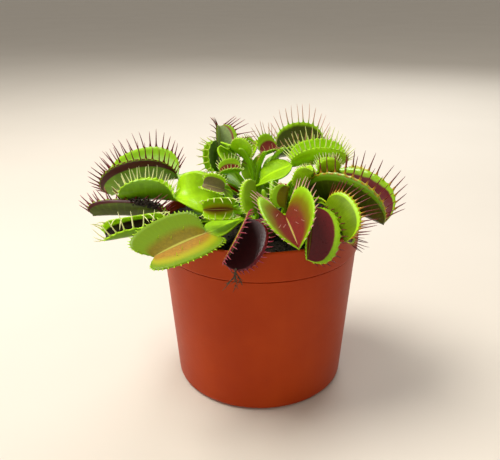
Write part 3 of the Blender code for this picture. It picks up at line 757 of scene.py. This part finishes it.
def leaf_material(name, style):
    """Leaf tissue: winged stalk, outer face, glandular inner face, rim and teeth."""
    s = Shader(name)
    tone = SimpleNamespace(**{k: PALETTE[style[k]] for k in LEAF_COLOURS})
    depth, inner, organ, tooth, ribs, side = (s.value(field) for field in Body.FIELDS)
    patches = s.noise(140.0, 4.0)
    fine = s.noise(900.0)

    # Parallel veins run from the midrib to each tooth.
    wave = s.maths("PINGPONG", ribs, 0.5)
    vein = s.between(wave, 0.30, 0.5)

    # Outer face, darker towards the midrib, with a thin line under a beaded rim.
    dark, light = shade(tone.skin, 0.78), shade(tone.skin, 1.18)
    skin = s.ramp(patches, 0.35, 0.7, dark, light)
    skin = s.mix(s.times(vein, s.times(patches, 0.12)), skin, shade(tone.rim, 0.9))
    line = s.times(s.between(depth, style["hem"], style["hem"] + 0.05),
                   s.rest_of(s.between(depth, 0.94, 0.975)))
    skin = s.mix(s.times(line, 0.98), skin, tone.line)
    bead = s.between(depth, 0.95, 0.985)
    bead_colour = s.ramp(wave, 0.15, 0.42, shade(tone.root, 0.8), tone.rim)
    skin = s.mix(bead, skin, bead_colour)

    # Inner face: painted highlight along the midrib, coloured gland field, blending zone and rim
    # band.
    ragged = s.maths("ADD", depth, s.times(s.maths("SUBTRACT", patches, 0.5), 0.16))
    flesh = s.mix(side, tone.flesh_right, tone.flesh)
    field = s.ramp(fine, 0.3, 0.75, s.shaded(flesh, 0.86), s.shaded(flesh, 1.12))
    start, stop = style["fade"]
    middle = (start + stop) / 2
    glow = s.mix(side, tone.glow_right, tone.glow)
    lining = s.ramp(ragged, start, middle + 0.02, field, glow)
    lining = s.ramp(ragged, middle - 0.02, stop, lining, tone.rim)
    lining = s.ramp(depth, 0.94, 0.99, lining, shade(tone.rim, 1.15))
    # A pale straw stripe along the midrib is a painted highlight, not a colour of the leaf.
    ridge = s.times(s.rest_of(s.between(depth, 0.015, 0.06)), 0.55)
    lining = s.mix(ridge, lining, PALETTE["straw"])
    lining = s.mix(s.times(vein, 0.25), lining, s.shaded(lining, 1.18))

    trap = s.mix(inner, skin, lining)

    # Winged stalk: fine forked veins and a lighter middle and edge.
    streaks = s.noise(420.0, 4.0, 0.6)
    dark, light = shade(tone.blade, 0.88), shade(tone.blade, 1.08)
    blade = s.ramp(streaks, 0.3, 0.72, dark, light)
    blade = s.mix(s.times(s.between(patches, 0.45, 0.8), 0.35), blade, shade(PALETTE["lime"], 0.9))
    blade = s.mix(s.rest_of(s.between(depth, 0.03, 0.16)), blade, PALETTE["lime"])
    blade = s.mix(s.times(s.between(depth, 0.88, 1.0), 0.6), blade, PALETTE["lime"])
    tissue = s.mix(organ, blade, trap)

    # Teeth: the root's colour, which runs on to mid-length on rose-tipped teeth, then the tip's.
    waist = tone.root if style["tip"] == "rose" else tone.tip
    spike = s.ramp(tooth, 0.12, 0.45, tone.root, waist)
    spike = s.ramp(tooth, 0.55, 1.0, spike, tone.tip)
    tissue = s.ramp(tooth, 0.02, 0.12, tissue, spike)

    # Relief: veins, gland dots on the inner face, cell-sized grain.
    glands = s.between(s.cells(1100.0), 0.0, 0.45)
    field_only = s.times(inner, s.rest_of(s.between(depth, start, stop)))
    rib_height = s.times(vein, s.maths("SUBTRACT", 0.28, s.times(inner, 0.22)))
    relief = s.maths("ADD", rib_height, s.times(fine, 0.4))
    relief = s.maths("ADD", relief, s.times(s.times(glands, field_only), 0.25))
    normal = s.bump(relief, 0.35, 0.0002)
    gloss = style["gloss"]
    roughness = s.maths("ADD", s.times(fine, 0.16), s.mix(inner, (OUTER_GLOSS,) * 3, (gloss,) * 3))
    return s.finish(
        tissue, roughness, normal, Subsurface_Weight=0.15, Subsurface_Radius=LEAF_SCATTER,
        Subsurface_Scale=0.0010, Specular_IOR_Level=0.2, Coat_Roughness=0.16,
        Coat_Weight=WET_COAT if gloss < WET_GLOSS else DRY_COAT,
    )


POT_DARK, POT_LIGHT = (0.36, 0.033, 0.001), (0.42, 0.045, 0.002)
POT_STREAK, POT_SCUFF, POT_DUST = (0.50, 0.066, 0.005), (0.46, 0.14, 0.06), (0.10, 0.03, 0.012)
PEAT_DARK, PEAT_LIGHT = (0.006, 0.004, 0.003), (0.030, 0.020, 0.013)
PEAT_FIBRE = (0.12, 0.075, 0.040)
CROWN_GREEN, CROWN_PALE, CROWN_RED = (0.20, 0.32, 0.03), (0.42, 0.46, 0.14), (0.22, 0.06, 0.03)
MOSS_DARK, MOSS_LIGHT = (0.030, 0.021, 0.013), (0.13, 0.095, 0.055)
FLOOR_DARK, FLOOR_LIGHT = (0.66, 0.60, 0.52), (0.72, 0.66, 0.58)


def pot_material():
    """Moulded terracotta-coloured plastic: flow streaks, scuffs, dust specks, a satin sheen."""
    s = Shader("moulded_plastic")
    cloud = s.noise(26.0, 4.0)
    streak = s.noise(60.0, 4.0, 0.6, (1.0, 1.0, 0.08))
    speck = s.between(s.cells(260.0), 0.0, 0.055)
    scuff = s.noise(220.0, 6.0, 0.7, (1.0, 1.0, 5.0))
    colour = s.ramp(cloud, 0.3, 0.7, POT_DARK, POT_LIGHT)
    colour = s.mix(s.times(s.between(streak, 0.45, 0.75), 0.2), colour, POT_STREAK)
    colour = s.mix(s.times(s.between(scuff, 0.66, 0.8), 0.25), colour, POT_SCUFF)
    colour = s.mix(s.rest_of(speck), colour, POT_DUST)
    roughness = s.maths("ADD", 0.36, s.times(scuff, 0.16))
    relief = s.maths("ADD", s.times(scuff, 0.35), s.noise(700.0, 2.0))
    normal = s.bump(relief, 0.25, 0.00012)
    return s.finish(colour, roughness, normal, Specular_IOR_Level=0.14)


def soil_material():
    """Damp peat: black-brown crumbs with lighter fibres."""
    s = Shader("damp_peat")
    crumbs = s.cells(620.0)
    fibres = s.noise(900.0, 6.0, 0.7, (1.0, 0.25, 1.0))
    colour = s.ramp(crumbs, 0.1, 0.6, PEAT_DARK, PEAT_LIGHT)
    colour = s.ramp(fibres, 0.62, 0.74, colour, PEAT_FIBRE)
    relief = s.maths("ADD", crumbs, fibres)
    normal = s.bump(relief, 0.9, 0.0009)
    return s.finish(colour, 0.85, normal, Specular_IOR_Level=0.3)


def crown_material():
    """Pale growing point with green and reddish bases of old stalks."""
    s = Shader("growing_point")
    cloud = s.noise(300.0, 4.0)
    colour = s.ramp(cloud, 0.35, 0.65, CROWN_GREEN, CROWN_PALE)
    colour = s.ramp(s.noise(160.0, 2.0), 0.58, 0.7, colour, CROWN_RED)
    normal = s.bump(cloud, 0.5, 0.0004)
    return s.finish(colour, 0.5, normal, Subsurface_Weight=0.15, Subsurface_Scale=0.001)


def bud_material():
    """An unopened leaf: smooth waxy green, lighter at its folded edge."""
    s = Shader("young_tissue")
    edge = s.value("depth")
    cloud = s.noise(260.0)
    colour = s.ramp(cloud, 0.3, 0.7, shade(PALETTE["bright"], 0.85), PALETTE["bright"])
    colour = s.ramp(edge, 0.5, 1.0, colour, PALETTE["lime"])
    grain = s.noise(1400.0, 2.0)
    return s.finish(
        colour, s.maths("ADD", 0.34, s.times(grain, 0.1)), s.bump(grain, 0.3, 0.0001),
        Subsurface_Weight=0.2, Subsurface_Radius=LEAF_SCATTER, Subsurface_Scale=0.0015,
        Coat_Weight=0.15, Coat_Roughness=0.2,
    )


def moss_material():
    """Dried moss: grey-brown, fibrous."""
    s = Shader("dried_moss")
    fibre = s.noise(1200.0, 5.0, 0.7)
    colour = s.ramp(fibre, 0.3, 0.7, MOSS_DARK, MOSS_LIGHT)
    return s.finish(colour, 0.9, s.bump(fibre, 0.8, 0.0003))


def floor_material():
    """Plain pale stone-coloured paint."""
    s = Shader("pale_floor")
    cloud = s.noise(6.0)
    colour = s.mix(cloud, FLOOR_DARK, FLOOR_LIGHT)
    return s.finish(colour, 0.75)


# ---- pot, potting mix and small pieces
def settle(piece, look_of, slot, *nodes):
    """Gives a piece its material and its body, and hides the CAD nodes that it stands for."""
    piece.data.materials.append(look_of)
    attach(piece, BODY)
    if nodes:
        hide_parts(*nodes)


def ring_piece(name, rings):
    """A smooth closed piece through rings of equal point counts, in millimetres."""
    points = [point for ring in rings for point in ring]
    mesh = mesh_of(name, points, tube_faces(len(rings), len(rings[0])))
    work = bmesh.new()
    work.from_mesh(mesh)
    bmesh.ops.recalc_face_normals(work, faces=work.faces[:])
    work.to_mesh(mesh)
    work.free()
    mesh.shade_smooth()
    return new_object(name, mesh)


def ring_of(radius, z, count):
    turns = [2 * np.pi * i / count for i in range(count)]
    return [(radius * np.cos(a), radius * np.sin(a), z) for a in turns]


def pot_rings(height):
    """Rings of the pot's wall: foot, body, rim band with its shadow line, lip, and the inside."""
    foot, body_top = POT_FOOT_RADIUS, BODY_TOP_RADIUS
    outline = []
    for turn in np.linspace(0, np.pi / 2, 7):
        radius = foot - POT_FOOT_CORNER * (1 - np.sin(turn)) + 0.15
        outline.append((radius, POT_FOOT_CORNER * (1 - np.cos(turn))))
    for z in np.linspace(POT_FOOT_CORNER + 1, BAND_BOTTOM_Z - 0.8, 16):
        outline.append((foot + (body_top - foot) * z / BAND_BOTTOM_Z, z))
    outline += [
        (body_top - 0.05, BAND_BOTTOM_Z - 0.5),
        (body_top - 0.75, BAND_BOTTOM_Z - 0.35),
        (body_top - 0.80, BAND_BOTTOM_Z + 0.05),
        (BAND_RADIUS - 0.2, BAND_BOTTOM_Z + 0.12),
        (BAND_RADIUS, BAND_BOTTOM_Z + 0.4),
    ]
    for z in np.linspace(BAND_BOTTOM_Z + 1, height - 1.2, 6):
        share = (z - BAND_BOTTOM_Z) / (height - BAND_BOTTOM_Z)
        outline.append((BAND_RADIUS + (POT_TOP_RADIUS - BAND_RADIUS) * share, z))
    lip = POT_WALL / 2
    for turn in np.linspace(0.1, np.pi - 0.1, 9):
        radius = POT_TOP_RADIUS - lip + lip * np.cos(turn)
        outline.append((radius, height - lip + lip * np.sin(turn)))
    outline += [
        (POT_TOP_RADIUS - POT_WALL, height - 2),
        (BAND_RADIUS - POT_WALL, BAND_BOTTOM_Z + 2),
        (body_top - POT_WALL, BAND_BOTTOM_Z),
        (foot - POT_WALL, POT_FLOOR + 2),
        (foot - POT_WALL - 2, POT_FLOOR),
        (0.6, POT_FLOOR),
    ]
    return [ring_of(r, z, POT_SIDES) for r, z in [(0.6, 0.0), *outline]]


def build_pot():
    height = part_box("pot")[1][2] / MM
    pot = ring_piece("pot_wall", pot_rings(height))
    cutters = []
    for i in range(DRAIN_COUNT):
        turn = 2 * np.pi * (i + 0.4) / DRAIN_COUNT
        rings = [ring_of(DRAIN_RADIUS, z, DRAIN_SIDES) for z in (-3, 5)]
        cutter = ring_piece(f"drain_{i}", rings)
        cutter.location = (DRAIN_RING * MM * np.cos(turn), DRAIN_RING * MM * np.sin(turn), 0)
        cut = pot.modifiers.new(cutter.name, "BOOLEAN")
        cut.operation = "DIFFERENCE"
        cut.object = cutter
        cutters.append(cutter)
    apply_modifiers(pot)
    for cutter in cutters:
        bpy.data.objects.remove(cutter)
    pot.data.shade_smooth()
    pot.data.set_sharp_from_angle(angle=SHARP_ANGLE)
    settle(pot, pot_material(), "pot_plastic", "pot")


def apply_modifiers(piece):
    """Replaces a piece's mesh by what its modifiers make of it."""
    graph = bpy.context.evaluated_depsgraph_get()
    made = bpy.data.meshes.new_from_object(piece.evaluated_get(graph))
    piece.modifiers.clear()
    piece.data = made


def crown_distance(x, y):
    return min(np.hypot(x - cx, y - cy) for _, (cx, cy) in CROWNS)


def soil_height(x, y):
    """Lumpy top of the potting mix, flat under each crown."""
    lumps = 0.9 * noise.noise(Vector((x * 0.16, y * 0.16, 3.0)))
    lumps += 0.35 * noise.noise(Vector((x, y, 9.0)) * 0.5)
    blend = min(1, max(0, (crown_distance(x, y) - CROWN_FLAT) / 3))
    flat = CROWN_BASE_Z - GAP
    crumbs = 0.55 * noise.noise(Vector((x, y, 1.0)) * 1.3)
    crumbs += 0.3 * noise.noise(Vector((x, y, 5.0)) * 3.1)
    return flat + blend * (SOIL_TOP - flat + lumps + crumbs)


CRUMB_FACES = (
    (0, 1, 3, 2), (4, 6, 7, 5), (0, 4, 5, 1), (2, 3, 7, 6), (0, 2, 6, 4), (1, 5, 7, 3),
)


def crumb(points, faces, centre, size):
    """One irregular crumb: a dented eight-cornered lump."""
    start = len(points)
    for corner in product((-1, 1), repeat=3):
        dented = np.array(corner) * size * random.uniform(0.55, 1.0, 3) * 0.6
        points.append(centre + dented)
    for face in CRUMB_FACES:
        faces.append([start + corner for corner in face])


def build_crumbs(name, points, faces):
    """Many crumbs of the mix as one piece."""
    piece = new_object(name, mesh_of(name, points, faces))
    settle(piece, soil_material(), "potting_mix")


def build_soil():
    """The mix: a plug that fills the pot, with a fine crumbly top and loose crumbs on it."""
    wall = POT_TOP_RADIUS - POT_WALL - 0.6
    plug = ((POT_FOOT_RADIUS - POT_WALL - 3, POT_FLOOR + 0.4), (wall - 1.2, BAND_BOTTOM_Z))
    rings = [ring_of(radius, z, SOIL_SIDES) for radius, z in plug]
    for radius in np.linspace(wall, 0.4, SOIL_RINGS):
        rings.append([(x, y, soil_height(x, y)) for x, y, _ in ring_of(radius, 0, SOIL_SIDES)])
    settle(ring_piece("peat_surface", rings), soil_material(), "potting_mix", "potting_mix")
    points, faces = [], []
    for _ in range(CRUMB_COUNT):
        radius = wall * np.sqrt(random.uniform(0.02, 0.97))
        turn = random.uniform(0, 2 * np.pi)
        x, y = radius * np.cos(turn), radius * np.sin(turn)
        if crown_distance(x, y) < CROWN_RADIUS + 0.6:
            continue
        size = random.uniform(0.25, 0.95)
        crumb(points, faces, np.array([x, y, soil_height(x, y) + size * 0.2]), size)
    build_crumbs("peat_crumbs", points, faces)


def build_clump():
    """A clump of mix stuck to the rim of the nearly closed left trap."""
    row = next(r for r in LEAVES if r["name"] == "leaf_left_closed")
    points, faces = [], []
    for _ in range(CLUMP_CRUMBS):
        s, depth = random.normal(0.34, 0.06), random.uniform(0.70, 1.06)
        centre = trap_point(row, float(np.clip(s, 0.1, 0.8)), depth)
        offset = trap_frame(row)[2] * 0.7 + random.normal(0, 0.45, 3)
        crumb(points, faces, centre + offset, random.uniform(0.35, 0.9))
    build_crumbs("peat_clump", points, faces)


# share of the crown's radius, and height, from its foot to its top
CROWN_PROFILE = (
    (0.84, CROWN_BASE_Z), (0.98, 71.6), (1.0, 73.2), (0.98, 74.6),
    (0.86, 75.7), (0.6, 76.4), (0.3, CROWN_TOP_Z), (0.06, CROWN_TOP_Z),
)
CROWN_SIDES = 48


def build_crown(name, centre):
    """A crown: a low mound with the overlapping bases of old stalks round it."""
    rings = []
    for k, (share, z) in enumerate(CROWN_PROFILE):
        ring = []
        for i in range(CROWN_SIDES):
            turn = 2 * np.pi * i / CROWN_SIDES
            scale = 1 - 0.10 * abs(np.sin(3.5 * turn + k * 0.35))
            radius = CROWN_RADIUS * share * scale
            ring.append((centre[0] + radius * np.cos(turn), centre[1] + radius * np.sin(turn), z))
        rings.append(ring)
    settle(ring_piece(name + "_skin", rings), crown_material(), "crown", name)


YOUNG_RINGS = 34
YOUNG_SIDES = 20
STALK_GIRTH = 0.7  # half girth of a young leaf's stalk


def young_leaf_line(row):
    """Middle line of a young leaf, as start, bend and tip."""
    centre = CROWNS[row["crown"]][1]
    start = np.array([centre[0] + row["foot"][0], centre[1] + row["foot"][1], CROWN_TOP_Z + GAP])
    tip = np.array(row["tip"], float)
    bend = start * 0.7 + tip * 0.3
    bend[2] = tip[2] + row["arch"] - 4
    return start, bend, tip


def build_young_leaf(row):
    """An unopened leaf: a slim stalk that swells into a folded bud with a seam down one side."""
    start, bend, tip = young_leaf_line(row)
    body = Body()
    for k in range(YOUNG_RINGS):
        t = k / (YOUNG_RINGS - 1)
        centre = (1 - t) ** 2 * start + 2 * t * (1 - t) * bend + t * t * tip
        tangent = unit(2 * (1 - t) * (bend - start) + 2 * t * (tip - bend))
        side = unit(np.cross(tangent, (0.31, 0.77, 0.2)))
        other = np.cross(tangent, side)
        swell = smooth(np.clip((t - 0.3) / 0.35, 0, 1))
        close = np.sqrt(max(0.004, 1 - max(0, (t - 0.8) / 0.2) ** 2))
        radius = (STALK_GIRTH + (row["girth"] - STALK_GIRTH) * swell) * close
        for i in range(YOUNG_SIDES):
            turn = 2 * np.pi * i / YOUNG_SIDES
            seam = np.exp(-((turn - np.pi / 2) ** 2) * 22) * swell
            shape = radius * (1 - 0.30 * seam)
            point = centre + shape * (np.cos(turn) * side + 0.78 * np.sin(turn) * other)
            body.add(point, depth=float(seam), organ=1.0)
    body.faces = tube_faces(YOUNG_RINGS, YOUNG_SIDES)
    settle(body.piece(row["name"] + "_skin"), bud_material(), "young_leaf", row["name"])


STEM_GIRTHS = (0.36, 0.30)
BRANCH_GIRTH = 0.26
FRAYS = 5  # frayed ends on each stem and branch
FRAY_RINGS = 6


def build_sprig():
    """The dried scrap of moss: a bent stem and frayed branches, each a thin tapered tube."""
    body = Body()
    stem = [np.array(p, float) for p in SPRIG_STEM]
    lines = [(stem[k], stem[k + 1], girth) for k, girth in enumerate(STEM_GIRTHS)]
    lines += [(*np.array(branch, float), BRANCH_GIRTH) for branch in SPRIG_BRANCHES]
    for first, last, girth in list(lines):
        for _ in range(FRAYS):
            t = random.uniform(0.3, 1.0)
            root = first + (last - first) * t
            end = root + random.normal(0, 0.9, 3) + (last - first) * 0.35
            lines.append((root, end, girth * 0.5))
    for first, last, girth in lines:
        span = last - first
        length = np.linalg.norm(span)
        sway = random.normal(0, 0.12, 3)
        add_spike(body, first, span / length, sway, length, girth, 1.0, FRAY_RINGS)
    settle(body.piece("moss_scrap"), moss_material(), "dry_moss", "dry_moss_sprig")


SLOTS = {
    "bright": "leaf_bright_green",
    "green": "leaf_green",
    "olive": "leaf_olive",
    "maroon": "leaf_maroon",
    "dry": "dry_leaf",
}


# ---- stage
CAMERA_PLACE = (-0.0042, -0.2517, 0.1699)
CAMERA_PITCH = 0.3872
CAMERA_ROLL = -0.0045
SENSOR_WIDTH = 36.0
FOCAL_LENGTH = 44.64
CLIP_START = 0.01
FLOOR = ((-4, -4, 0), (4, -4, 0), (4, 6, 0), (-4, 6, 0))
LIGHT_TARGET = (0, 0, 0.08)
LIGHTS = (  # name, place, size, watts, colour
    ("window", (-0.38, 0.02, 0.82), 0.5, 8.5, (1.0, 0.97, 0.91)),
    ("fill", (-0.45, -0.85, 0.35), 0.8, 1.7, (1.0, 0.95, 0.86)),
    ("back", (0.25, 0.7, 0.6), 0.6, 3.5, (0.97, 0.99, 1.0)),
)
SURROUND_COLOUR = (1.0, 0.95, 0.87, 1.0)
SURROUND_STRENGTH = 0.36


def add_light(name, place, size, power, colour):
    data = bpy.data.lights.new(name, "AREA")
    data.shape = "DISK"
    data.size = size
    data.energy = power
    data.color = colour
    lamp = new_object(name, data)
    lamp.location = place
    lamp.rotation_euler = (Vector(LIGHT_TARGET) - Vector(place)).to_track_quat("-Z", "Y").to_euler()


def build_stage():
    mesh = bpy.data.meshes.new("floor")
    mesh.from_pydata(FLOOR, [], [(0, 1, 2, 3)])
    floor = new_object("floor", mesh)
    mesh.materials.append(floor_material())
    for light in LIGHTS:
        add_light(*light)
    scene = bpy.context.scene
    world = bpy.data.worlds.new("studio")
    world.use_nodes = True
    background = world.node_tree.nodes["Background"]
    background.inputs["Color"].default_value = SURROUND_COLOUR
    background.inputs["Strength"].default_value = SURROUND_STRENGTH
    scene.world = world
    scene.view_settings.view_transform = "Standard"
    data = bpy.data.cameras.new("camera")
    data.sensor_width = SENSOR_WIDTH
    data.lens = FOCAL_LENGTH
    data.clip_start = CLIP_START
    camera = new_object("camera", data)
    camera.location = CAMERA_PLACE
    roll = Matrix.Rotation(CAMERA_ROLL, 4, "Z")
    pitch = Matrix.Rotation(np.pi / 2 - CAMERA_PITCH, 4, "X")
    camera.rotation_euler = (pitch @ roll).to_euler()
    scene.camera = camera


def box_list(box):
    return [[float(c) for c in corner] for corner in box]


def build():
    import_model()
    cad_box = box_list(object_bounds())
    build_stage()
    build_pot()
    build_soil()
    for crown in CROWNS:
        build_crown(*crown)
    for row in LEAVES:
        style = LOOKS[row["name"]]
        piece = leaf_piece(row, style)
        tissue = leaf_material(row["name"] + "_tissue", style)
        settle(piece, tissue, SLOTS[row["colour"]], row["name"])
    for row in YOUNG_LEAVES:
        build_young_leaf(row)
    build_sprig()
    build_clump()


build()
